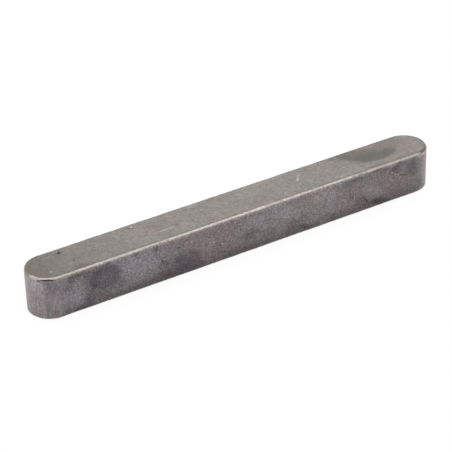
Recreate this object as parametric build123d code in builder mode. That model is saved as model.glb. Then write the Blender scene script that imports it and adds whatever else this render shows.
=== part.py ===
from build123d import *
import os

# Round-ended parallel key, form A, of bright drawn key steel. All sizes are in millimetres.
# It locks a hub to its shaft: the lower half lies in the shaft's keyway, the upper half
# stands up into the hub's, and the two flanks carry the torque. Both ends are half-round,
# to fill a keyway sunk with an end mill as wide as the key.
# Frame: origin at the middle of the bottom face, +X along the key, +Y across it to the
# back flank, +Z up.

# The bar: a square section, cut to length over its round ends.
width = 5.0
height = 5.0
length = 50.0

# The 45 degree edge breaks, run all the way round the top and the bottom rim.
top_chamfer = 0.2
bottom_chamfer = 0.25

# A deep dent in the top face, close to the back rim.
deep_dent_from_tip = 4.55
deep_dent_from_flank = 0.85
deep_dent_across = 0.5
deep_dent_depth = 0.1

# The same blow went on towards the back rim, and left a smaller dent that runs into the deep one.
trailing_dent_from_tip = 4.75
trailing_dent_from_flank = 0.5
trailing_dent_across = 0.3
trailing_dent_depth = 0.06

# A shallower one further along the same rim.
shallow_dent_from_tip = 13.2
shallow_dent_from_flank = 0.75
shallow_dent_across = 0.4
shallow_dent_depth = 0.05

# A bruise on the left end, right under the top chamfer, that leaves the rim standing over it.
# It faces this way, counted anticlockwise from +X as seen from above.
bruise_direction = 240
bruise_depth = 0.075
bruise_height = 0.18

end_radius = width / 2
left_tip = -length / 2
left_end_centre = left_tip + end_radius
back_flank = width / 2
chamfer_foot = height - top_chamfer


def round_dent(from_tip, from_flank, across, depth):
    """Press a round-nosed dent into the top face of the part being built."""
    nose_radius = (across**2 / 4 + depth**2) / (2 * depth)
    nose_centre = (left_tip + from_tip, back_flank - from_flank, height - depth + nose_radius)
    with Locations(nose_centre):
        Sphere(nose_radius, mode=Mode.SUBTRACT)


with BuildPart() as key:
    # The plan is a slot shape: two straight flanks and two ends of the full radius.
    with BuildSketch() as plan:
        SlotOverall(length, width)
    extrude(amount=height)
    rims = edges().group_by(Axis.Z)
    chamfer(rims[-1], top_chamfer)
    chamfer(rims[0], bottom_chamfer)

    # The bruise is a flat across the round of the end, no deeper than the rim above it.
    with Locations(Location((left_end_centre, 0, chamfer_foot), (0, 0, bruise_direction))):
        with Locations((end_radius - bruise_depth, 0)):
            Box(
                bruise_depth,
                width,
                bruise_height,
                align=(Align.MIN, Align.CENTER, Align.MAX),
                mode=Mode.SUBTRACT,
            )

    round_dent(deep_dent_from_tip, deep_dent_from_flank, deep_dent_across, deep_dent_depth)
    round_dent(
        trailing_dent_from_tip,
        trailing_dent_from_flank,
        trailing_dent_across,
        trailing_dent_depth,
    )
    round_dent(
        shallow_dent_from_tip, shallow_dent_from_flank, shallow_dent_across, shallow_dent_depth
    )

key.part.label = "parallel_key"

os.makedirs("parts", exist_ok=True)
export_step(key.part, "parts/parallel_key.step")
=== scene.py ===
import math
import random
from collections import namedtuple

import bmesh
import bpy
from mathutils import Matrix, Vector, kdtree, noise


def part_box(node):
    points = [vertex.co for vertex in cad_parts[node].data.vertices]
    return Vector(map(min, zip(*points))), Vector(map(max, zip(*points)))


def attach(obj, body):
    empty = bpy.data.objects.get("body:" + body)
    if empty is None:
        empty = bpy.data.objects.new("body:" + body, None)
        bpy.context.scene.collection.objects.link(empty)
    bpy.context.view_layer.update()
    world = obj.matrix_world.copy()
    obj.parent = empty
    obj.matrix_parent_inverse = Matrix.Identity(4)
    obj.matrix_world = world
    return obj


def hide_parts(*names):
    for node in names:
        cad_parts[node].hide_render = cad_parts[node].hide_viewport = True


# A round-ended parallel key of bright drawn steel, lying on its bottom face. Lengths are in
# millimetres until they reach Blender, which takes metres, and turns are in degrees. X runs
# along the key, the front flank faces -Y and the top face looks up.

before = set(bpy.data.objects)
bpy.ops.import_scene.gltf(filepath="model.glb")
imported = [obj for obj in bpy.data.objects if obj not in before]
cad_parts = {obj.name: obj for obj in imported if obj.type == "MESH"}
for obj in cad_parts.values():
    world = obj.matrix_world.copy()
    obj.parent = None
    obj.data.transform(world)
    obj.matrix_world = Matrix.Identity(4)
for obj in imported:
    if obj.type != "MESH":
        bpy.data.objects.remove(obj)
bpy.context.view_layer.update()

MM = 0.001
low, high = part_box("parallel_key")
LENGTH = (high.x - low.x) / MM
WIDTH = (high.y - low.y) / MM
HEIGHT = (high.z - low.z) / MM
LEFT_TIP = low.x / MM
BACK_FLANK = high.y / MM
FRONT_FLANK = low.y / MM
END_RADIUS = WIDTH / 2
HALF_SPINE = LENGTH / 2 - END_RADIUS

# The edge breaks: how far they reach in and along the wall, and how round their edges are.
TOP_BREAK = (0.13, 0.19)
TOP_BREAK_ROUNDS = (0.03, 0.12)
FOOT_BREAK = (0.25, 0.25)
FOOT_BREAK_ROUNDS = (0.1, 0.06)

# How much wider or narrower tumbling leaves them, as a share of their reach.
TOP_BREAK_VARIES = 0.28
FOOT_BREAK_VARIES = 0.1

# How many parts the skin is cut into: along a flank, round an end, and on each leg of the
# section, which are half the top, its break, the wall, the foot's break and half the underside.
FLANK_STEPS = 450
END_STEPS = 84
LEG_STEPS = (12, 3, 24, 2, 8)

# Two faces that meet at a sharper angle than this keep a crisp edge between them.
CRISP_ANGLE = 50


# ---------------------------------------------------------------- the body of the key


def rounded_path(corners, steps, rounds):
    """Points along straight legs with the corners between them rounded, and the leg of each.

    steps holds how many parts each leg is cut into, and rounds the radius at each corner,
    which turns by about 45 degrees. A leg's two ends get a narrow part more, to keep the shine
    of a corner off the flat by it. A point on a corner counts as part way to the next leg.
    """
    turn_steps = 4
    narrow = 0.015
    half_turn = math.radians(45 / 2)
    corners = [Vector(corner) for corner in corners]
    bends = [0, *(radius * math.tan(half_turn) for radius in rounds), 0]
    points = []
    for leg, (start, end) in enumerate(zip(corners, corners[1:])):
        along = (end - start).normalized()
        first = start + along * bends[leg]
        last = end - along * bends[leg + 1]
        guard = narrow / (last - first).length
        inner = [step / steps[leg] for step in range(1, steps[leg])]
        for share in (0, guard, *inner, 1 - guard, 1):
            points.append((first.lerp(last, share), leg))
        if leg < len(corners) - 2:
            after = end + (corners[leg + 2] - end).normalized() * bends[leg + 1]
            for step in range(1, turn_steps):
                share = step / turn_steps
                bent = last.lerp(end, share).lerp(end.lerp(after, share), share)
                points.append((bent, leg + share))
    return points


def section(top_share, foot_share):
    """The key's section on one side: middle of the top, rim, flank, foot, middle underneath.

    The shares widen or narrow the two edge breaks.
    """
    top_in, top_down = TOP_BREAK
    foot_in, foot_up = FOOT_BREAK
    corners = [
        (0, HEIGHT),
        (END_RADIUS - top_in * top_share, HEIGHT),
        (END_RADIUS, HEIGHT - top_down * top_share),
        (END_RADIUS, foot_up * foot_share),
        (END_RADIUS - foot_in * foot_share, 0),
        (0, 0),
    ]
    return rounded_path(corners, LEG_STEPS, TOP_BREAK_ROUNDS + FOOT_BREAK_ROUNDS)


def plan_stations():
    """Stations round the plan: a place on the spine, and which way is out from it."""
    stations = []
    for step in range(FLANK_STEPS):
        stations.append((HALF_SPINE * (2 * step / FLANK_STEPS - 1), -90))
    for step in range(END_STEPS):
        stations.append((HALF_SPINE, 180 * step / END_STEPS - 90))
    for step in range(FLANK_STEPS):
        stations.append((HALF_SPINE * (1 - 2 * step / FLANK_STEPS), 90))
    for step in range(END_STEPS):
        stations.append((-HALF_SPINE, 180 * step / END_STEPS + 90))
    return stations


def uneven_share(x, y, seed, amount):
    """How wide an edge break is here, for tumbling leaves it a little wider and narrower."""
    slow_size = 2.5
    quick_size = 0.4
    slow = noise.noise(Vector((x / slow_size, y / slow_size, seed)))
    quick = noise.noise(Vector((x / quick_size, y / quick_size, seed + 20)))
    return 1 + amount * (slow + quick)


FINISHES = ("top", "edge", "left wall", "right wall", "underside")


def finish_of(leg, x):
    """Which finish a face has, from its leg of the section and its place along the key."""
    wall = "left wall" if x < 0 else "right wall"
    return ("top", "edge", wall, "edge", "underside")[round(leg)]


def key_body():
    """The whole key as one closed skin, its section carried round the plan."""
    touching = 1e-5
    body = bmesh.new()
    rings = []
    for x, turn in plan_stations():
        out_x = math.cos(math.radians(turn))
        out_y = math.sin(math.radians(turn))
        rim_x = x + END_RADIUS * out_x
        rim_y = END_RADIUS * out_y
        top_share = uneven_share(rim_x, rim_y, seed=3, amount=TOP_BREAK_VARIES)
        foot_share = uneven_share(rim_x, rim_y, seed=7, amount=FOOT_BREAK_VARIES)
        ring = []
        for (out, up), leg in section(top_share, foot_share):
            ring.append((body.verts.new((x + out * out_x, out * out_y, up)), leg))
        rings.append(ring)
    for ring, following in zip(rings, rings[1:] + rings[:1]):
        for row in range(len(ring) - 1):
            corners = (ring[row], ring[row + 1], following[row + 1], following[row])
            face = body.faces.new([vert for vert, _ in corners])
            leg = (ring[row][1] + ring[row + 1][1]) / 2
            finish = finish_of(leg, face.calc_center_median().x)
            face.material_index = FINISHES.index(finish)
            face.smooth = True
    # The front and the back meet in the middle of the top and of the underside.
    bmesh.ops.remove_doubles(body, verts=body.verts, dist=touching)
    bmesh.ops.recalc_face_normals(body, faces=body.faces)
    return body


# ---------------------------------------------------------------- dents and bruises

# The dents in the top face, close to the back rim: from where to where the blow went, how wide
# it left the dent and how deep.
DEEP_DENT = (LEFT_TIP + 4.55, BACK_FLANK - 0.85)
TRAILING_DENT = (LEFT_TIP + 4.75, BACK_FLANK - 0.5)
TRAIL_END = (LEFT_TIP + 4.8, BACK_FLANK - 0.2)
SHALLOW_DENT = (LEFT_TIP + 13.2, BACK_FLANK - 0.75)
TOP_DENTS = (
    (DEEP_DENT, DEEP_DENT, 0.5, 0.1),
    (DEEP_DENT, TRAILING_DENT, 0.3, 0.06),
    (TRAILING_DENT, TRAIL_END, 0.16, 0.04),
    (SHALLOW_DENT, SHALLOW_DENT, 0.4, 0.05),
)

# The bruise on the left end, right under the key's own chamfer, and which way it faces.
TOP_CHAMFER = 0.2
BRUISE_TURN = 240
BRUISE_DEPTH = 0.075
BRUISE_HEIGHT = 0.18
BRUISE_TOP = HEIGHT - TOP_CHAMFER
LEFT_CENTRE = Vector((-HALF_SPINE, 0, 0))

# How far round a dent and round the bruise the skin is cut finer.
DENT_REACH = 0.75
BRUISE_REACH = 0.95


def on_end(side, turn, up):
    """A place on the round wall of one end, side -1 or 1, turned anticlockwise from +X."""
    angle = math.radians(turn)
    x = side * HALF_SPINE + END_RADIUS * math.cos(angle)
    return Vector((x, END_RADIUS * math.sin(angle), up))


def refine(body, place, reach):
    """Cut the skin three times as fine within reach of a place."""
    near = [edge for edge in body.edges if (edge.verts[0].co - place).length < reach]
    bmesh.ops.subdivide_edges(body, edges=near, cuts=2, use_grid_fill=True)


def press(skin, start, end, nose):
    """Drag a round nose through the steel; start and end are where its centre passes."""
    finder, verts = skin
    span = end - start
    reach = span.length / 2 + nose
    for _, index, _ in finder.find_range((start + end) / 2, reach):
        vert = verts[index]
        share = 0
        if span.length > 0:
            share = min(1, max(0, (vert.co - start).dot(span) / span.length_squared))
        away = vert.co - start - span * share
        if away.length < nose:
            vert.co += away.normalized() * (nose - away.length)


def nose_for(across, depth):
    """The radius of the nose that leaves a dent so wide and so deep."""
    return (across**2 / 4 + depth**2) / (2 * depth)


def dent_top(skin, start, end, across, depth):
    """Dent the top face from start to end, both (x, y)."""
    nose = nose_for(across, depth)
    up = HEIGHT - depth + nose
    press(skin, Vector((*start, up)), Vector((*end, up)), nose)


def nibble_rims(skin):
    """The small dents that the other keys in the box knock into the rims.

    Each lies part of the way across an edge break, from the wall in.
    """
    count = 230
    widths = (0.1, 0.24)
    depths_for_width = (0.05, 0.1)
    ways_in = (0.2, 0.8)
    chance = random.Random(5)
    for _ in range(count):
        x = chance.uniform(-HALF_SPINE, HALF_SPINE)
        side = chance.choice((-1, 1))
        top = chance.random() < 0.5
        across = chance.uniform(*widths)
        depth = across * chance.uniform(*depths_for_width)
        nose = nose_for(across, depth)
        reach_in, reach_up = TOP_BREAK if top else FOOT_BREAK
        way_in = chance.uniform(*ways_in)
        up = (1 - way_in) * reach_up
        out = Vector((0, side * reach_up, reach_in if top else -reach_in)).normalized()
        point = Vector((x, side * (END_RADIUS - way_in * reach_in), HEIGHT - up if top else up))
        centre = point + out * (nose - depth)
        press(skin, centre, centre, nose)


def bruise_end(skin):
    """Flatten the left end right under its top rim, which is left standing over the flat."""
    lip = 0.02
    turn = math.radians(BRUISE_TURN)
    way = Vector((math.cos(turn), math.sin(turn), 0))
    _, verts = skin
    for vert in verts:
        if not BRUISE_TOP - BRUISE_HEIGHT < vert.co.z < BRUISE_TOP + lip:
            continue
        proud = (vert.co - LEFT_CENTRE).dot(way) - (END_RADIUS - BRUISE_DEPTH)
        if proud > 0:
            vert.co -= way * proud


def build_key():
    """The key with its dents and its bruise, before it has a finish."""
    body = key_body()
    for x, y in (DEEP_DENT, SHALLOW_DENT):
        refine(body, Vector((x, y, HEIGHT)), DENT_REACH)
    refine(body, on_end(-1, BRUISE_TURN, BRUISE_TOP - BRUISE_HEIGHT / 2), BRUISE_REACH)
    verts = list(body.verts)
    finder = kdtree.KDTree(len(verts))
    for index, vert in enumerate(verts):
        finder.insert(vert.co, index)
    finder.balance()
    skin = (finder, verts)
    for start, end, across, depth in TOP_DENTS:
        dent_top(skin, start, end, across, depth)
    nibble_rims(skin)
    bruise_end(skin)
    bmesh.ops.scale(body, vec=(MM, MM, MM), verts=body.verts)
    mesh = bpy.data.meshes.new("steel_key")
    body.to_mesh(mesh)
    body.free()
    mesh.set_sharp_from_angle(angle=math.radians(CRISP_ANGLE))
    key = bpy.data.objects.new("steel_key", mesh)
    bpy.context.scene.collection.objects.link(key)
    return key


# ---------------------------------------------------------------- finishes


def linear(colour):
    """A hex sRGB colour as the linear RGBA that Blender takes."""
    parts = []
    for place in (1, 3, 5):
        part = int(colour[place : place + 2], 16) / 255
        parts.append(part / 12.92 if part <= 0.04045 else ((part + 0.055) / 1.055) ** 2.4)
    return (*parts, 1)


def add(tree, kind, settings, sockets):
    """Add a node, with its settings and with what goes into its sockets.

    A socket is called by its name, or by its number where several have the same name.
    """
    node = tree.nodes.new("ShaderNode" + kind)
    for name, value in settings.items():
        setattr(node, name, value)
    for name, value in sockets.items():
        if isinstance(value, bpy.types.NodeSocket):
            tree.links.new(value, node.inputs[name])
        else:
            node.inputs[name].default_value = value
    return node


def start_steel(name, roughness):
    """A bare steel material, its node tree and shader, and places on it in millimetres.

    The roughness is the plain one, which finish_with then varies.
    """
    material = bpy.data.materials.new(name)
    material.use_nodes = True
    tree = material.node_tree
    shader = tree.nodes["Principled BSDF"]
    shader.inputs["Metallic"].default_value = 1
    shader.inputs["Roughness"].default_value = roughness
    spot = add(tree, "TexCoord", {}, {}).outputs["Object"]
    place = add(tree, "VectorMath", {"operation": "SCALE"}, {0: spot, "Scale": 1 / MM})
    return material, tree, shader, place.outputs[0]


def scale_for(size):
    """The scale at which the lumps of a noise texture are about so many millimetres across."""
    return 0.5 / size


def lay(tree, colour, tint, reading, start, full, strength):
    """Lay a tint on a colour. It sets in as a reading passes start, and is there from full on."""
    share = add(
        tree,
        "MapRange",
        {"interpolation_type": "SMOOTHSTEP"},
        {"Value": reading, "From Min": start, "From Max": full, "To Max": strength},
    )
    mix = add(
        tree, "Mix", {"data_type": "RGBA"}, {0: share.outputs[0], 6: colour, 7: linear(tint)}
    )
    return mix.outputs[2]


def film(tree, place, colour, tint, size, edges, strength, seed):
    """Lay a patchy film of tint on a colour.

    Its patches are about size across. It is there where the cloud behind it, which lies
    about 0.5, passes from the first to the second of edges.
    """
    cloud = add(
        tree,
        "TexNoise",
        {"noise_dimensions": "4D"},
        {"Vector": place, "W": seed, "Scale": scale_for(size), "Detail": 3.0, "Roughness": 0.55},
    )
    return lay(tree, colour, tint, cloud.outputs[0], *edges, strength)


def stain(tree, place, colour, mark):
    """Lay one mark on a colour: an ellipsoid of a tint with a soft edge."""
    local = add(
        tree,
        "Mapping",
        {"vector_type": "TEXTURE"},
        {
            "Vector": place,
            "Location": mark.centre,
            "Rotation": [math.radians(turn) for turn in mark.turns],
            "Scale": mark.size,
        },
    )
    far = add(tree, "VectorMath", {"operation": "LENGTH"}, {0: local.outputs[0]})
    start = 1 + mark.softness
    full = 1 - mark.softness
    return lay(tree, colour, mark.tint, far.outputs["Value"], start, full, mark.strength)


def ragged(tree, place, amount, size):
    """Places pushed about by a cloud, so that what is drawn on them has an uneven edge."""
    cloud = add(tree, "TexNoise", {}, {"Vector": place, "Scale": scale_for(size), "Detail": 3.0})
    off = add(
        tree,
        "VectorMath",
        {"operation": "MULTIPLY_ADD"},
        {0: cloud.outputs["Color"], 1: (2 * amount,) * 3, 2: (-amount,) * 3},
    )
    return add(tree, "VectorMath", {}, {0: place, 1: off.outputs[0]}).outputs[0]


def rim_grime(tree, place, colour, tint, strength):
    """Lay a tint along the front rim and on round both ends of it, fading inwards."""
    fades_in = 0.55
    full_in = 0.25
    along = add(tree, "SeparateXYZ", {}, {0: place})
    aside = add(tree, "Math", {"operation": "MINIMUM"}, {0: along.outputs["Y"], 1: 0.0})
    beyond = add(tree, "Math", {"operation": "ABSOLUTE"}, {0: along.outputs["X"]})
    beyond = add(tree, "Math", {"operation": "SUBTRACT"}, {0: beyond.outputs[0], 1: HALF_SPINE})
    beyond = add(tree, "Math", {"operation": "MAXIMUM"}, {0: beyond.outputs[0], 1: 0.0})
    out = add(tree, "CombineXYZ", {}, {0: beyond.outputs[0], 1: aside.outputs[0]})
    out = add(tree, "VectorMath", {"operation": "LENGTH"}, {0: out.outputs[0]})
    start = END_RADIUS - fades_in
    full = END_RADIUS - full_in
    return lay(tree, colour, tint, out.outputs["Value"], start, full, strength)


def fade(tree, place, colour, tint, heights, strength):
    """Lay a tint on a colour from the first of two heights to the second, where it is full."""
    up = add(tree, "SeparateXYZ", {}, {0: place}).outputs["Z"]
    return lay(tree, colour, tint, up, *heights, strength)


# How coarse the grains are, in millimetres. The real grit and the real mill lines are a few
# hundredths across, and both are drawn as coarse as they need to be to show at all.
GRIT = 1 / 11
MILL_LINE = 1 / 13


def tumbled_grain(tree, place):
    """Fine grit without a direction."""
    grain = add(
        tree,
        "TexNoise",
        {},
        {"Vector": place, "Scale": scale_for(GRIT), "Detail": 2.0, "Roughness": 0.7},
    )
    return grain.outputs[0]


def milled_grain(tree, place, grain):
    """The upright lines that the side of an end mill leaves on the round ends, over a grain."""
    taller = 2.5
    start = HALF_SPINE - 1.0
    full = HALF_SPINE + 0.5
    strength = 0.75
    upright = add(
        tree, "VectorMath", {"operation": "MULTIPLY"}, {0: place, 1: (1, 1, 1 / taller)}
    )
    lines = add(
        tree,
        "TexNoise",
        {},
        {
            "Vector": upright.outputs[0],
            "Scale": scale_for(MILL_LINE),
            "Detail": 2.0,
            "Roughness": 0.7,
        },
    )
    along = add(tree, "SeparateXYZ", {}, {0: place}).outputs["X"]
    away = add(tree, "Math", {"operation": "ABSOLUTE"}, {0: along})
    share = add(
        tree,
        "MapRange",
        {"interpolation_type": "SMOOTHSTEP"},
        {"Value": away.outputs[0], "From Min": start, "From Max": full, "To Max": strength},
    )
    both = add(tree, "Mix", {}, {0: share.outputs[0], 2: grain, 3: lines.outputs[0]})
    return both.outputs[0]


def finish_with(tree, shader, colour, grain, contrast, roughness, relief):
    """Carry a grain, which lies about 0.5, into a surface's colour, roughness and relief."""
    grit_height = 0.02 * MM
    smoothest, roughest = roughness
    shade = add(
        tree,
        "MapRange",
        {},
        {
            "Value": grain,
            "From Min": 0.25,
            "From Max": 0.75,
            "To Min": 1 - contrast,
            "To Max": 1 + contrast,
        },
    )
    shaded = add(
        tree, "VectorMath", {"operation": "SCALE"}, {0: colour, "Scale": shade.outputs[0]}
    )
    dull = add(
        tree,
        "MapRange",
        {},
        {
            "Value": grain,
            "From Min": 0.3,
            "From Max": 0.7,
            "To Min": smoothest,
            "To Max": roughest,
        },
    )
    bump = add(tree, "Bump", {}, {"Height": grain, "Strength": relief, "Distance": grit_height})
    tree.links.new(shaded.outputs[0], shader.inputs["Base Color"])
    tree.links.new(dull.outputs[0], shader.inputs["Roughness"])
    tree.links.new(bump.outputs[0], shader.inputs["Normal"])


# What lies on the steel, by the look of it.
SOOT = "#342f30"
DRIED_OIL = "#565158"
BROWN = "#6f6562"
OLIVE = "#67645d"
# Also used as painted shade where the right end turns from the front flank.
SHADE = "#6a6867"
HAZE = "#878288"
GREY = "#868380"
MOSS = "#747470"
PINK = "#807170"
ROSE = "#a09192"
GREEN_OIL = "#9a9884"
FAINT_SPOT = "#7d7771"
SPOT = "#6c6863"
UNDER_RIM = "#574f4a"
# Painted shade along the foot of the flanks.
FOOT_SHADE = "#3b3738"
DENT_DARK = "#4a403a"
DENT_SHADE = "#3a322d"

# Where the steel itself shows brighter.
RUBBED = "#a09a9b"
NICK = "#bcb7b1"
SCRATCH = "#c0bab2"
BURNISHED = "#c6bfba"

# One mark: its middle, its half sizes and its turns about X, Y and Z, how far its edge fades
# out and in as a share of its size, its tint, and how strong that is.
Mark = namedtuple("Mark", "centre size turns softness tint strength")


def on_top(x, y, half_x, half_y, turn, softness, tint, strength):
    """A mark on the top face, turned anticlockwise as seen from above."""
    return Mark((x, y, HEIGHT), (half_x, half_y, 1), (0, 0, turn), softness, tint, strength)


def on_front(x, up, half_x, half_up, turn, softness, tint, strength):
    """A mark on the front flank, turned anticlockwise as seen from the front."""
    place = (x, FRONT_FLANK, up)
    return Mark(place, (half_x, 1, half_up), (0, -turn, 0), softness, tint, strength)


def on_back(x, up, half_x, half_up, turn, softness, tint, strength):
    """A mark on the back flank, turned clockwise as seen from the back."""
    place = (x, BACK_FLANK, up)
    return Mark(place, (half_x, 1, half_up), (0, -turn, 0), softness, tint, strength)


def on_underside(x, y, half_x, half_y, turn, softness, tint, strength):
    """A mark on the underside, turned clockwise as seen from below."""
    return Mark((x, y, 0), (half_x, half_y, 1), (0, 0, turn), softness, tint, strength)


def on_wall_end(side, turn, up, half_round, half_up, softness, tint, strength):
    """A mark on the round wall of one end."""
    place = tuple(on_end(side, turn, up))
    return Mark(place, (0.5, half_round, half_up), (0, 0, turn), softness, tint, strength)


def along_foot(flank):
    """Painted shade along the foot of a flank, which fades out round the ends."""
    return Mark((0, flank, 0.1), (32, 0.7, 1.1), (0, 0, 0), 0.7, FOOT_SHADE, 0.6)


# Two marks that lie across the join of two finishes, and so are in the lists of both: a dark mark
# in the bruise under the left rim, and painted shade on the right end's rim.
SHADE_OF_BRUISE = on_wall_end(-1, BRUISE_TURN - 1, 4.77, 0.76, 0.11, 0.3, "#221819", 0.95)
RIM_SHADOW = on_top(23.5, -2.18, 0.75, 0.1, 27, 0.6, "#2e2924", 0.8)

# A mark lies over the ones before it.
TOP_MARKS = [
    # The left end, darkened as painted shade, and the faint patches along the face.
    on_top(-25.3, 0.0, 4.6, 6.0, 0, 0.8, "#7c7770", 0.85),
    on_top(-24.6, 0.5, 0.5, 1.5, -25, 0.6, "#857a68", 0.6),
    on_top(-19.7, -1.8, 0.9, 0.3, 8, 0.8, "#6f675b", 0.65),
    on_top(-17.0, -0.2, 3.4, 3.0, 0, 0.8, "#88827f", 0.3),
    on_top(-18.4, -0.6, 1.0, 1.8, 0, 0.7, "#858481", 0.4),
    on_top(-14.8, -2.0, 0.8, 0.3, 0, 0.7, "#86817b", 0.45),
    on_top(-19.3, -2.1, 0.7, 0.25, 0, 0.7, "#6f6a64", 0.5),
    on_top(-18.6, 1.2, 0.7, 0.6, 0, 0.7, "#9f9290", 0.3),
    on_top(-14.8, 1.7, 0.7, 0.4, 0, 0.7, "#a19390", 0.4),
    on_top(-11.1, 1.2, 0.5, 0.9, -20, 0.6, ROSE, 0.55),
    on_top(-9.3, 0.4, 1.0, 0.5, -25, 0.7, "#8a827d", 0.35),
    on_top(-9.8, 0.6, 1.1, 0.1, -30, 0.6, "#857d78", 0.5),
    on_top(1.6, 0.9, 2.0, 1.2, 0, 0.8, "#a89f9d", 0.35),
    on_top(-2.1, 1.3, 0.7, 0.5, 0, 0.7, "#a39393", 0.45),
    on_top(-1.1, 1.4, 0.35, 0.5, 0, 0.6, "#93877a", 0.5),
    on_top(-3.9, -1.5, 0.6, 0.5, 30, 0.6, "#8f8280", 0.5),
    on_top(-4.2, 2.0, 0.7, 0.35, 0, 0.7, "#b3aca6", 0.6),
    on_top(3.0, -2.0, 0.8, 0.3, 0, 0.7, "#b0a9a3", 0.45),
    on_top(5.0, 2.1, 2.0, 0.3, 0, 0.8, "#aea69e", 0.5),
    on_top(2.4, 0.8, 0.5, 0.4, 0, 0.8, "#a9a29b", 0.4),
    on_top(3.4, 1.2, 0.25, 0.6, -30, 0.6, "#9c9a86", 0.5),
    on_top(-0.8, -1.8, 0.35, 0.4, -30, 0.6, GREEN_OIL, 0.5),
    on_top(10.2, -0.7, 0.2, 0.5, -30, 0.6, GREEN_OIL, 0.4),
    # The big dried drop near the right end, and what lies about it.
    on_top(14.7, 1.8, 1.5, 0.6, -20, 0.6, "#7f7670", 0.6),
    on_top(18.55, 3.2, 4.0, 4.35, 0, 0.05, "#706c66", 0.65),
    on_top(19.2, 4.4, 4.6, 4.4, 0, 0.2, "#88827b", 0.5),
    on_top(18.5, 0.05, 2.5, 1.1, -8, 0.5, "#6c6964", 0.6),
    on_top(16.0, 1.2, 1.0, 1.0, 0, 0.6, "#766f6a", 0.5),
    on_top(19.4, 1.7, 0.9, 0.7, 0, 0.6, "#958a82", 0.6),
    on_top(21.6, 1.2, 1.3, 1.0, -25, 0.5, "#8f8a81", 0.75),
    on_top(19.7, 0.9, 0.45, 0.7, -30, 0.6, "#88847e", 0.5),
    on_top(17.2, 1.4, 0.7, 0.6, 0, 0.7, "#80746f", 0.4),
    on_top(17.9, 1.7, 0.4, 0.5, 0, 0.6, "#838074", 0.5),
    on_top(16.6, 1.3, 0.5, 0.4, 0, 0.6, "#877a7c", 0.5),
    on_top(18.9, 2.0, 1.3, 0.3, 0, 0.7, "#a09a94", 0.4),
    # Painted shade on the top along the front rim near the right end.
    on_top(21.5, -2.1, 2.4, 0.3, 0, 0.7, "#7f7973", 0.5),
    on_top(22.8, 0.8, 0.9, 0.8, 0, 0.7, "#948482", 0.55),
    on_top(22.6, -0.9, 1.0, 0.6, 0, 0.7, "#93897c", 0.5),
    on_top(17.0, -2.0, 1.3, 0.2, 0, 0.6, "#7d7770", 0.6),
    # Darker marks in the deep dent and in the one that trails from it.
    on_top(-20.75, 1.5, 0.4, 0.3, 0, 0.7, "#87746b", 0.4),
    on_top(-20.45, 1.62, 0.17, 0.2, 0, 0.5, "#2b2320", 0.9),
    on_top(-20.3, 1.95, 0.08, 0.22, -25, 0.5, DENT_SHADE, 0.75),
    on_top(-20.2, 1.45, 0.16, 0.08, 0, 0.5, DENT_DARK, 0.7),
    on_top(-20.75, 1.7, 0.14, 0.07, 20, 0.5, DENT_DARK, 0.5),
    # Specks, nicks and scratches.
    on_top(-19.85, -0.55, 0.11, 0.2, -25, 0.5, "#5d5852", 0.8),
    on_top(-22.8, -1.2, 0.13, 0.2, -15, 0.6, "#bab5ae", 0.65),
    on_top(-12.1, 1.8, 0.5, 0.13, -32, 0.6, "#6f6c65", 0.7),
    on_top(-11.68, 1.85, 0.18, 0.13, 0, 0.6, "#bcb7b0", 0.5),
    on_top(-9.1, -0.65, 0.55, 0.1, 0, 0.6, SCRATCH, 0.75),
    on_top(-8.25, -0.6, 0.35, 0.09, 5, 0.6, SCRATCH, 0.75),
    on_top(-7.5, -0.35, 0.38, 0.1, -32, 0.6, "#706964", 0.5),
    on_top(-7.1, -1.7, 0.55, 0.1, -58, 0.6, "#b5aca3", 0.55),
    on_top(-3.8, 0.72, 0.2, 0.13, 40, 0.6, "#bdb7b0", 0.6),
    on_top(-4.05, 0.5, 0.2, 0.07, 50, 0.6, "#79736e", 0.6),
    on_top(0.1, 0.05, 0.25, 0.13, 0, 0.6, FAINT_SPOT, 0.5),
    on_top(1.3, -0.2, 0.3, 0.1, 35, 0.6, FAINT_SPOT, 0.5),
    on_top(8.36, 0.45, 0.45, 0.16, 52, 0.8, "#cbc4b9", 0.65),
    on_top(9.0, 1.1, 0.17, 0.14, 0, 0.6, "#c9c2b7", 0.7),
    on_top(9.0, 1.62, 0.16, 0.06, 60, 0.5, "#bdb6ad", 0.7),
    on_top(5.55, -1.35, 0.12, 0.16, -20, 0.5, NICK, 0.7),
    on_top(5.5, -1.8, 0.12, 0.1, -20, 0.5, NICK, 0.6),
    on_top(5.3, -1.3, 0.1, 0.2, -20, 0.5, SPOT, 0.6),
    on_top(5.68, -1.02, 0.1, 0.12, -20, 0.5, SPOT, 0.6),
    on_top(7.75, -2.0, 0.12, 0.14, 0, 0.5, "#bfb9b0", 0.7),
    on_top(8.2, -0.95, 0.22, 0.06, 60, 0.5, "#76716b", 0.6),
    on_top(12.6, -1.85, 0.12, 0.16, -20, 0.5, "#c2bcb2", 0.7),
    # The front rim at the right end: a light streak on the top, and painted shade on the rim.
    on_top(23.3, -1.68, 0.7, 0.1, 27, 0.6, "#b0aba4", 0.5),
    RIM_SHADOW,
]

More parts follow.
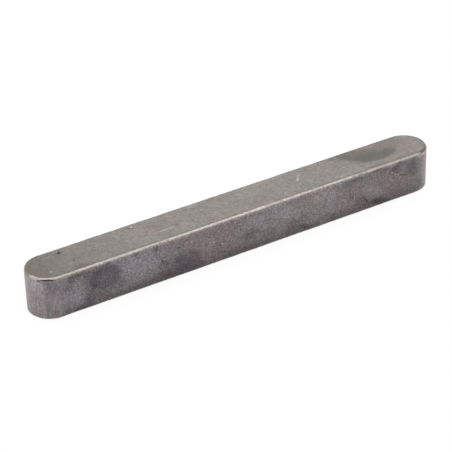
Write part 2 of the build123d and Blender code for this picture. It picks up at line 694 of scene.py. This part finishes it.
WALL_MARKS = [
    # Painted shade along the foot of both flanks.
    along_foot(FRONT_FLANK),
    along_foot(BACK_FLANK),
    # The broad shading of the left end, painted: lighter and darker bands round its curve.
    on_wall_end(-1, 250, 2.3, 1.2, 3.2, 0.5, "#857e82", 0.6),
    on_wall_end(-1, 222, 0.9, 2.2, 0.9, 0.8, "#7b7071", 0.55),
    on_wall_end(-1, 198, 2.4, 2.1, 4.0, 0.25, "#948a8c", 0.75),
    on_wall_end(-1, 203, 4.0, 1.2, 0.75, 0.8, "#a8a3a9", 0.5),
    on_wall_end(-1, 195, 0.4, 1.3, 0.55, 0.8, "#7b706f", 0.55),
    on_wall_end(-1, 168, 2.8, 0.9, 3.5, 0.8, "#aba098", 0.35),
    # The broad patches of the front flank.
    on_front(-20.8, 1.9, 1.1, 1.1, 0, 0.8, HAZE, 0.5),
    on_front(-20.4, 3.3, 0.7, 0.4, 0, 0.7, GREY, 0.35),
    on_front(-21.6, 3.4, 0.5, 0.6, 0, 0.7, "#5f595f", 0.45),
    on_front(-20.2, 0.4, 0.9, 0.35, 0, 0.7, "#3a3436", 0.4),
    on_front(-14.2, 3.3, 1.6, 1.5, 0, 0.8, HAZE, 0.6),
    on_front(-14.8, 1.7, 1.0, 0.8, 0, 0.8, MOSS, 0.35),
    on_front(-15.8, 1.9, 0.8, 0.6, 0, 0.7, "#5c5556", 0.5),
    on_front(-12.0, 3.4, 1.4, 1.2, 0, 0.8, HAZE, 0.45),
    on_front(-10.1, 2.1, 1.1, 0.6, 0, 0.7, "#5a5657", 0.5),
    on_front(-5.0, 2.7, 2.6, 2.0, 0, 0.8, PINK, 0.45),
    on_front(-2.6, 3.7, 0.9, 0.6, 0, 0.6, PINK, 0.5),
    on_front(-4.0, 1.6, 0.7, 0.5, 0, 0.7, "#5c5452", 0.4),
    on_front(1.0, 3.6, 1.4, 0.6, 0, 0.7, HAZE, 0.55),
    on_front(1.8, 2.0, 2.4, 1.1, 0, 0.8, OLIVE, 0.3),
    on_front(3.4, 4.0, 0.25, 1.1, 0, 0.6, "#86837a", 0.5),
    on_front(4.4, 3.4, 0.9, 0.8, 0, 0.7, HAZE, 0.5),
    on_front(3.2, 2.8, 2.6, 2.0, 0, 0.9, "#908c8c", 0.35),
    on_front(8.3, 2.6, 2.2, 1.5, 0, 0.9, "#8a8783", 0.5),
    on_front(9.3, 4.05, 2.0, 0.7, 0, 0.8, "#938e8c", 0.55),
    on_front(2.8, 1.6, 0.9, 0.5, 0, 0.7, "#5c5657", 0.45),
    on_front(7.0, 1.8, 0.9, 0.6, 0, 0.7, "#5c5557", 0.45),
    on_front(10.0, 0.7, 0.7, 0.35, 0, 0.7, "#8c8486", 0.35),
    on_front(10.8, 3.2, 0.6, 1.2, 0, 0.6, HAZE, 0.55),
    on_front(12.8, 2.3, 1.5, 1.3, 0, 0.8, PINK, 0.45),
    on_front(12.9, 4.0, 0.9, 0.45, 0, 0.7, SHADE, 0.6),
    on_front(15.4, 3.7, 0.5, 0.8, 0, 0.6, MOSS, 0.5),
    on_front(16.6, 2.3, 1.4, 0.7, -32, 0.6, GREY, 0.6),
    on_front(18.5, 3.2, 1.2, 1.0, 0, 0.8, PINK, 0.4),
    on_front(21.2, 2.3, 1.3, 0.5, 0, 0.7, "#80736c", 0.5),
    # The dark drop that dried near the left end, and what lies about it.
    on_front(-17.4, 3.1, 1.85, 1.35, 0, 0.18, DRIED_OIL, 0.75),
    on_front(-18.9, 3.2, 1.1, 1.5, 0, 0.6, "#595457", 0.5),
    on_front(-18.4, 3.9, 0.9, 0.5, 0, 0.5, "#524d56", 0.35),
    on_front(-18.7, 2.5, 0.35, 0.5, 0, 0.5, "#49434a", 0.4),
    on_front(-17.3, 3.2, 0.6, 0.4, 0, 0.7, "#6d6770", 0.4),
    on_front(-18.2, 1.5, 0.7, 0.5, 0, 0.6, "#5b5855", 0.45),
    on_front(-17.2, 1.6, 0.5, 0.7, 0, 0.6, "#5f5756", 0.45),
    on_front(-19.5, 3.7, 0.25, 1.0, 12, 0.6, OLIVE, 0.6),
    on_front(-20.7, 4.4, 0.9, 0.25, 0, 0.7, "#504a4a", 0.65),
    on_front(-21.15, 4.0, 0.28, 0.4, 15, 0.6, "#565050", 0.55),
    on_front(-19.35, 1.1, 0.6, 0.85, 0, 0.8, "#4d464c", 0.6),
    on_front(-19.25, 1.05, 0.09, 0.1, 0, 0.6, HAZE, 0.45),
    on_front(-19.6, 1.55, 0.14, 0.1, -40, 0.6, HAZE, 0.45),
    on_front(-19.05, 1.45, 0.1, 0.08, 0, 0.6, HAZE, 0.35),
    on_front(-17.0, 4.55, 0.35, 0.14, 15, 0.6, "#4d4847", 0.7),
    on_front(-13.6, 4.5, 0.3, 0.16, 0, 0.6, "#4d4a46", 0.6),
    on_front(-11.3, 4.35, 0.35, 0.3, 0, 0.6, "#55514e", 0.65),
    # The dark drops left of the middle.
    on_front(-8.2, 1.3, 1.1, 1.45, 0, 0.5, "#49454b", 0.52),
    on_front(-8.5, 2.1, 0.6, 0.55, 0, 0.5, "#4d4953", 0.4),
    on_front(-6.9, 1.1, 1.35, 0.85, -25, 0.45, "#4a464c", 0.55),
    on_front(-10.0, 0.8, 1.3, 0.55, 0, 0.9, "#474040", 0.5),
    on_front(-6.7, 2.3, 0.85, 0.33, -32, 0.7, "#514848", 0.6),
    on_front(-8.4, 3.3, 0.5, 0.35, 0, 0.6, MOSS, 0.6),
    on_front(-7.5, 4.2, 0.7, 0.3, 0, 0.6, PINK, 0.5),
    # Specks, nicks and smears of the left half.
    on_front(-10.57, 2.6, 0.14, 0.13, 0, 0.5, SOOT, 0.75),
    on_front(-8.55, 3.56, 0.16, 0.09, -20, 0.5, SOOT, 0.65),
    on_front(-9.05, 2.85, 0.16, 0.07, -50, 0.5, SOOT, 0.5),
    on_front(-11.75, 3.0, 0.22, 0.08, -55, 0.5, RUBBED, 0.7),
    on_front(-11.4, 3.0, 0.3, 0.08, -45, 0.5, RUBBED, 0.6),
    on_front(-12.0, 2.5, 0.2, 0.1, 60, 0.5, RUBBED, 0.6),
    on_front(-13.1, 2.0, 0.08, 0.18, 0, 0.5, RUBBED, 0.5),
    on_front(-7.05, 3.75, 0.1, 0.13, 0, 0.5, RUBBED, 0.55),
    on_front(-4.3, 2.75, 0.16, 0.1, -20, 0.5, RUBBED, 0.6),
    on_front(-3.3, 2.2, 0.1, 0.14, 0, 0.5, RUBBED, 0.7),
    on_front(-3.6, 3.85, 0.1, 0.08, 0, 0.5, RUBBED, 0.6),
    on_front(-3.6, 2.2, 0.16, 0.12, 0, 0.5, SOOT, 0.4),
    on_front(-1.1, 4.1, 0.13, 0.1, 0, 0.5, SOOT, 0.5),
    # Specks, nicks and smears of the right half.
    on_front(0.5, 2.72, 0.25, 0.08, -20, 0.5, SOOT, 0.4),
    on_front(0.9, 3.65, 0.3, 0.15, 0, 0.6, RUBBED, 0.4),
    on_front(2.0, 0.7, 0.9, 0.3, 0, 0.7, "#47444a", 0.3),
    on_front(5.35, 3.35, 0.35, 0.5, 0, 0.8, "#8f9090", 0.55),
    on_front(5.2, 2.75, 0.5, 0.15, 0, 0.6, RUBBED, 0.4),
    on_front(5.6, 1.2, 0.75, 1.0, 0, 0.6, "#5e5354", 0.5),
    on_front(7.0, 0.9, 0.75, 0.24, -22, 0.6, SOOT, 0.55),
    on_front(0.3, 2.1, 1.1, 0.6, 0, 0.7, "#575150", 0.45),
    on_front(6.65, 2.95, 0.2, 0.12, 0, 0.5, RUBBED, 0.6),
    on_front(6.5, 2.5, 0.1, 0.2, 20, 0.5, RUBBED, 0.5),
    on_front(6.95, 2.4, 0.2, 0.35, 0, 0.6, BROWN, 0.5),
    on_front(7.7, 4.3, 0.5, 0.3, -20, 0.6, BROWN, 0.45),
    on_front(9.05, 3.5, 0.14, 0.12, 0, 0.5, RUBBED, 0.65),
    on_front(12.55, 2.35, 0.22, 0.07, -30, 0.5, RUBBED, 0.65),
    on_front(14.1, 4.4, 0.9, 0.28, -8, 0.6, "#544a46", 0.35),
    on_front(13.5, 2.7, 0.3, 0.6, 15, 0.7, "#574c4b", 0.4),
    on_front(14.6, 1.5, 1.1, 0.7, -40, 0.7, "#594d4c", 0.45),
    on_front(13.88, 2.2, 0.07, 0.3, 0, 0.5, RUBBED, 0.65),
    on_front(16.05, 2.5, 0.3, 0.2, 0, 0.6, "#969190", 0.5),
    on_front(15.5, 1.35, 0.7, 0.12, -58, 0.7, "#463b3c", 0.65),
    on_front(17.3, 0.72, 1.15, 0.42, -8, 0.6, "#3b3132", 0.65),
    on_front(16.6, 0.85, 0.3, 0.2, 0, 0.8, SOOT, 0.5),
    on_front(19.4, 4.2, 0.7, 0.24, 15, 0.7, "#463b38", 0.6),
    on_front(18.2, 4.35, 0.5, 0.25, 0, 0.7, "#665b68", 0.5),
    on_front(16.8, 4.65, 1.0, 0.2, 0, 0.6, UNDER_RIM, 0.65),
    on_front(20.3, 4.65, 0.6, 0.2, 0, 0.6, UNDER_RIM, 0.5),
    on_front(19.5, 3.7, 0.8, 0.4, 0, 0.7, "#5a5154", 0.5),
    on_front(19.05, 3.7, 0.14, 0.08, -40, 0.5, RUBBED, 0.6),
    on_front(19.4, 3.4, 0.18, 0.09, -40, 0.5, RUBBED, 0.6),
    on_front(19.7, 3.0, 0.16, 0.09, -40, 0.5, RUBBED, 0.6),
    on_front(19.1, 2.5, 0.12, 0.09, 0, 0.5, RUBBED, 0.5),
    on_front(19.1, 3.05, 0.12, 0.14, 0, 0.5, SOOT, 0.5),
    on_front(20.6, 2.95, 0.5, 0.12, -15, 0.6, SOOT, 0.5),
    on_front(21.8, 3.7, 0.7, 0.95, -20, 0.8, "#555556", 0.6),
    on_front(21.4, 3.1, 0.3, 0.25, 0, 0.7, "#4a433f", 0.4),
    on_front(20.0, 1.2, 2.2, 0.8, 0, 0.8, "#665d60", 0.4),
    on_front(22.0, 2.6, 0.4, 0.3, 0, 0.6, OLIVE, 0.6),
    # The smaller marks of the left end.
    on_wall_end(-1, 249, 3.9, 0.65, 0.8, 0.5, "#6a656f", 0.5),
    on_wall_end(-1, 218, 4.1, 0.25, 0.3, 0.6, "#999690", 0.4),
    on_wall_end(-1, 240, 1.5, 0.3, 0.5, 0.6, MOSS, 0.6),
    on_wall_end(-1, 271, 1.3, 0.2, 0.5, 0.6, MOSS, 0.6),
    on_wall_end(-1, 265.5, 1.4, 0.05, 0.85, 0.5, "#aaa4a4", 0.55),
    on_wall_end(-1, 218, 4.68, 0.2, 0.11, 0.5, "#57524a", 0.8),
    # A painted highlight on the wall just under the left rim.
    on_wall_end(-1, 207, 4.79, 0.4, 0.1, 0.6, "#cac3bc", 0.45),
    SHADE_OF_BRUISE,
    # The right end: a lavender tint that also paints a light band round it, painted highlights
    # under its rim, and painted shade where it turns from the front flank.
    on_wall_end(1, 291, 2.8, 1.0, 3.0, 0.8, "#9e9598", 0.5),
    on_wall_end(1, 316, 2.5, 0.8, 3.0, 0.9, "#ab9e96", 0.45),
    on_wall_end(1, 277, 4.6, 0.45, 0.25, 0.6, "#b9b2b4", 0.5),
    on_wall_end(1, 294, 4.74, 0.7, 0.14, 0.7, "#cbc4c4", 0.45),
    on_wall_end(1, 292, 0.3, 1.3, 0.15, 0.6, "#aaa3a3", 0.4),
    on_wall_end(1, 270, 2.5, 0.6, 3.2, 0.8, SHADE, 0.45),
    on_wall_end(1, 278, 1.5, 0.4, 0.5, 0.6, "#6b5f5d", 0.5),
    # The back flank.
    on_back(-15.5, 3.1, 2.2, 1.2, 10, 0.6, "#5a5558", 0.5),
    on_back(-6.5, 2.2, 2.6, 1.3, 0, 0.8, HAZE, 0.45),
    on_back(1.5, 1.5, 2.4, 0.9, -5, 0.8, OLIVE, 0.4),
    on_back(8.6, 3.3, 1.6, 1.1, 15, 0.7, "#59545a", 0.45),
    on_back(15.5, 2.2, 2.4, 1.4, 0, 0.8, GREY, 0.5),
    on_back(20.6, 1.3, 1.1, 0.6, -15, 0.7, BROWN, 0.5),
]

EDGE_MARKS = [
    # The rim of the left end: painted shade dims it, and a painted highlight brightens it about
    # 203 degrees.
    on_wall_end(-1, 236, 4.9, 1.5, 1.0, 0.5, "#a8a19b", 0.55),
    on_wall_end(-1, 203, 4.9, 0.5, 1.0, 0.5, "#dcd5cf", 0.3),
    SHADE_OF_BRUISE,
    on_wall_end(-1, 165, 5.0, 0.95, 1.0, 0.3, "#8a847d", 0.85),
    # The rim and the foot of the right end, the rim darkened as painted shade.
    on_wall_end(1, 323, 4.95, 1.0, 0.5, 0.35, "#5c564f", 0.85),
    RIM_SHADOW,
    on_wall_end(1, 292, 0.1, 1.3, 0.3, 0.5, BURNISHED, 0.65),
    # The front rim: painted shade dims its highlight towards both ends, and a painted highlight
    # brightens its middle.
    on_top(20.0, -2.4, 6.0, 1.0, 0, 0.6, "#989089", 0.4),
    on_top(4.0, -2.4, 6.0, 1.0, 0, 0.6, "#d8d1cc", 0.3),
    on_top(-17.0, -2.4, 7.0, 1.0, 0, 0.5, "#a8a19c", 0.35),
    # Where the trailing dent opens towards the back rim.
    on_top(-20.25, 2.3, 0.12, 0.3, -20, 0.5, DENT_SHADE, 0.8),
]

UNDERSIDE_MARKS = [
    on_underside(-18.0, 0.6, 2.6, 1.6, 20, 0.6, "#7f7870", 0.6),
    on_underside(-7.2, -1.0, 1.2, 0.7, -15, 0.7, ROSE, 0.5),
    on_underside(-2.5, 0.9, 1.1, 0.06, 12, 0.5, SCRATCH, 0.7),
    on_underside(4.1, -0.4, 0.8, 0.05, -35, 0.5, NICK, 0.7),
    on_underside(11.5, 0.3, 2.2, 1.3, -10, 0.7, "#827b72", 0.55),
    on_underside(19.2, -1.2, 0.9, 0.5, 0, 0.7, "#8a7a68", 0.5),
]

# The films on each finish, from the widest patches to the smallest: the tint, how wide a patch
# is, where in the cloud it lies, how strong it is, and the seed of its cloud.
TOP_FILMS = [
    ("#8b8680", 1.6, (0.45, 0.65), 0.6, 1),
    ("#9d8f88", 0.7, (0.52, 0.7), 0.7, 2),
    ("#8c8f86", 0.6, (0.52, 0.7), 0.7, 3),
    ("#7f7a74", 0.25, (0.5, 0.68), 0.5, 4),
    ("#ada8a1", 0.22, (0.5, 0.68), 0.5, 5),
]

WALL_FILMS = [
    ("#6b6466", 1.3, (0.45, 0.65), 0.5, 11),
    ("#7d726f", 0.6, (0.5, 0.7), 0.4, 12),
    ("#6f7171", 0.55, (0.5, 0.7), 0.4, 13),
    ("#5f585a", 0.25, (0.5, 0.68), 0.4, 14),
    ("#938d8e", 0.22, (0.52, 0.68), 0.4, 15),
]

EDGE_FILMS = [
    ("#a29b96", 1.4, (0.47, 0.62), 0.6, 21),
    ("#968f8a", 0.45, (0.52, 0.66), 0.45, 22),
    ("#dcd5d0", 0.3, (0.52, 0.66), 0.5, 23),
]


def lay_films(tree, place, base, films):
    """A base colour with its films laid on it."""
    colour = linear(base)
    for tint, size, edges, strength, seed in films:
        colour = film(tree, place, colour, tint, size, edges, strength, seed)
    return colour


def lay_marks(tree, place, colour, marks):
    """Lay marks on a colour. The edges of a wide one wander further than those of a narrow one."""
    narrow = 0.2
    wandering = ragged(tree, place, amount=0.16, size=0.35)
    steady = ragged(tree, place, amount=0.04, size=0.15)
    for mark in marks:
        edged = steady if min(mark.size) < narrow else wandering
        colour = stain(tree, edged, colour, mark)
    return colour


def level_steel(name, marks):
    """Bright drawn steel, tumbled, oiled and handled: the top face and the underside.

    Drawing and tumbling leave a close satin grey without a direction, and the oil that the
    key was kept in has dried on it in faint patches of brown, pink and green-grey.
    """
    material, tree, shader, place = start_steel(name, 0.4)
    colour = lay_films(tree, place, "#98938e", TOP_FILMS)
    colour = rim_grime(tree, place, colour, "#7c7771", 0.55)
    colour = lay_marks(tree, place, colour, marks)
    grain = tumbled_grain(tree, place)
    finish_with(tree, shader, colour, grain, contrast=0.25, roughness=(0.34, 0.42), relief=0.25)
    return material


def wall_steel(name, side):
    """The flanks, drawn, and the round ends, cut by the side of an end mill.

    They took less rubbing than the top and are more stained, and their colour is also darker
    than the top's as painted shade. Painted shade darkens them along the foot, and just under
    the top rim they are lighter, partly rubbed by the barrel and partly a painted highlight.
    Each half of the key, side -1 or 1, has its own material, with the marks that reach it,
    because one material can't hold them all.
    """
    material, tree, shader, place = start_steel(name, 0.42)
    marks = []
    for mark in WALL_MARKS:
        reach = mark.size[0] * (1 + mark.softness)
        if side * mark.centre[0] + reach > 0:
            marks.append(mark)
    # The walls' colour is darker than the top's, partly from stains and partly as painted shade.
    colour = lay_films(tree, place, "#7b7476", WALL_FILMS)
    # Lighter just under the top rim: partly rubbed by the barrel, partly a painted highlight.
    colour = fade(tree, place, colour, "#a49d99", (4.4, 4.85), 0.6)
    colour = lay_marks(tree, place, colour, marks)
    grain = milled_grain(tree, place, tumbled_grain(tree, place))
    finish_with(tree, shader, colour, grain, contrast=0.56, roughness=(0.36, 0.48), relief=0.3)
    return material


def burnished_edge(name):
    """The edge breaks, rubbed bright by the other keys in the tumbling barrel.

    The one at the foot is darkened as painted shade.
    """
    material, tree, shader, place = start_steel(name, 0.3)
    colour = lay_films(tree, place, BURNISHED, EDGE_FILMS)
    # Painted shade darkens the edge breaks towards the foot.
    colour = fade(tree, place, colour, "#4e4948", (0.8, 0.4), 0.85)
    colour = lay_marks(tree, place, colour, EDGE_MARKS)
    grain = tumbled_grain(tree, place)
    finish_with(tree, shader, colour, grain, contrast=0.16, roughness=(0.27, 0.33), relief=0.15)
    return material


def finish_key(key):
    """Give each face of the key its finish, in the order of FINISHES."""
    finishes = {
        "top": level_steel("drawn_steel_top", TOP_MARKS),
        "edge": burnished_edge("burnished_steel_edges"),
        "left wall": wall_steel("drawn_steel_left_wall", -1),
        "right wall": wall_steel("drawn_steel_right_wall", 1),
        "underside": level_steel("drawn_steel_underside", UNDERSIDE_MARKS),
    }
    for name in FINISHES:
        key.data.materials.append(finishes[name])


# ---------------------------------------------------------------- the studio

# Its lengths are in metres, unless they are multiplied by MM.


def lay_floor():
    """A white paper floor that keeps a faint shadow, curled up all round as a backdrop."""
    under_key = 0.01 * MM
    radius = 1.3
    curl = 0.25
    around = 64
    rings = 8
    glow_share = 0.93
    height = low.z - under_key
    points = []
    for ring in range(rings + 1):
        rise = math.pi / 2 * ring / rings
        out = radius + curl * math.sin(rise)
        up = curl * (1 - math.cos(rise))
        for step in range(around):
            turn = 2 * math.pi * step / around
            points.append((out * math.cos(turn), out * math.sin(turn), height + up))
    faces = [tuple(range(around))]
    for ring in range(rings):
        for step in range(around):
            after = (step + 1) % around
            inner = ring * around
            outer = inner + around
            faces.append((inner + step, outer + step, outer + after, inner + after))
    sheet = bpy.data.meshes.new("paper_floor")
    sheet.from_pydata(points, [], faces)
    sheet.shade_smooth()
    floor = bpy.data.objects.new("paper_floor", sheet)
    bpy.context.scene.collection.objects.link(floor)
    paper = bpy.data.materials.new("white_paper")
    paper.use_nodes = True
    tree = paper.node_tree
    shader = tree.nodes["Principled BSDF"]
    shader.inputs["Base Color"].default_value = linear("#f6f6f6")
    shader.inputs["Roughness"].default_value = 0.9
    shader.inputs["Specular IOR Level"].default_value = 0.1
    ray = add(tree, "LightPath", {}, {})
    seen = ray.outputs["Is Camera Ray"]
    for other in ("Is Glossy Ray", "Is Transmission Ray"):
        either = add(tree, "Math", {"operation": "MAXIMUM"}, {0: seen, 1: ray.outputs[other]})
        seen = either.outputs[0]
    share = add(tree, "Math", {"operation": "MULTIPLY"}, {0: seen, 1: glow_share})
    glow = add(tree, "Emission", {}, {"Strength": 1.0})
    mix = add(
        tree, "MixShader", {}, {0: share.outputs[0], 1: shader.outputs[0], 2: glow.outputs[0]}
    )
    tree.links.new(mix.outputs[0], tree.nodes["Material Output"].inputs["Surface"])
    floor.data.materials.append(paper)


def light_room():
    """A soft tent of light, a little brighter overhead than at the horizon."""
    at_horizon = 0.65
    overhead = 0.75
    world = bpy.data.worlds.new("light_tent")
    bpy.context.scene.world = world
    world.use_nodes = True
    tree = world.node_tree
    way = add(tree, "TexCoord", {}, {}).outputs["Generated"]
    up = add(tree, "SeparateXYZ", {}, {0: way}).outputs["Z"]
    strength = add(tree, "MapRange", {}, {"Value": up, "To Min": at_horizon, "To Max": overhead})
    tree.links.new(strength.outputs[0], tree.nodes["Background"].inputs["Strength"])
    tree.nodes["Background"].inputs["Color"].default_value = (1, 1, 1, 1)


def hang_softbox():
    """A wide level softbox over the key, mostly to its front and left."""
    radiance = 0.8
    lamp = bpy.data.lights.new("overhead_softbox", "AREA")
    lamp.shape = "RECTANGLE"
    lamp.size = 1.85
    lamp.size_y = 1.57
    lamp.energy = radiance * math.pi * lamp.size * lamp.size_y
    box = bpy.data.objects.new("overhead_softbox", lamp)
    box.location = (-0.175, -0.165, 0.6)
    bpy.context.scene.collection.objects.link(box)


def stand_camera():
    """A long lens to the left of the key's front, looking down on it."""
    turn = math.radians(-31.5)
    rise = math.radians(30.58)
    tilt = math.radians(-1.7)
    distance = 208.85 * MM
    aim = Vector((0.98, 3.59, 0)) * MM
    level_part = math.cos(rise)
    back = Vector((math.sin(turn) * level_part, -math.cos(turn) * level_part, math.sin(rise)))
    right = Vector((math.cos(turn), math.sin(turn), 0))
    level = Matrix((right, back.cross(right), back)).transposed().to_4x4()
    roll = Matrix.Rotation(tilt, 4, "Z")
    lens = bpy.data.cameras.new("camera")
    lens.sensor_width = 36
    lens.lens = 151.67
    lens.clip_start = 0.01
    camera = bpy.data.objects.new("camera", lens)
    camera.matrix_world = Matrix.Translation(aim + back * distance) @ level @ roll
    bpy.context.scene.collection.objects.link(camera)
    bpy.context.scene.camera = camera


key = build_key()
finish_key(key)
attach(key, "root")
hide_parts("parallel_key")

lay_floor()
light_room()
hang_softbox()
stand_camera()
bpy.context.scene.view_settings.view_transform = "Standard"
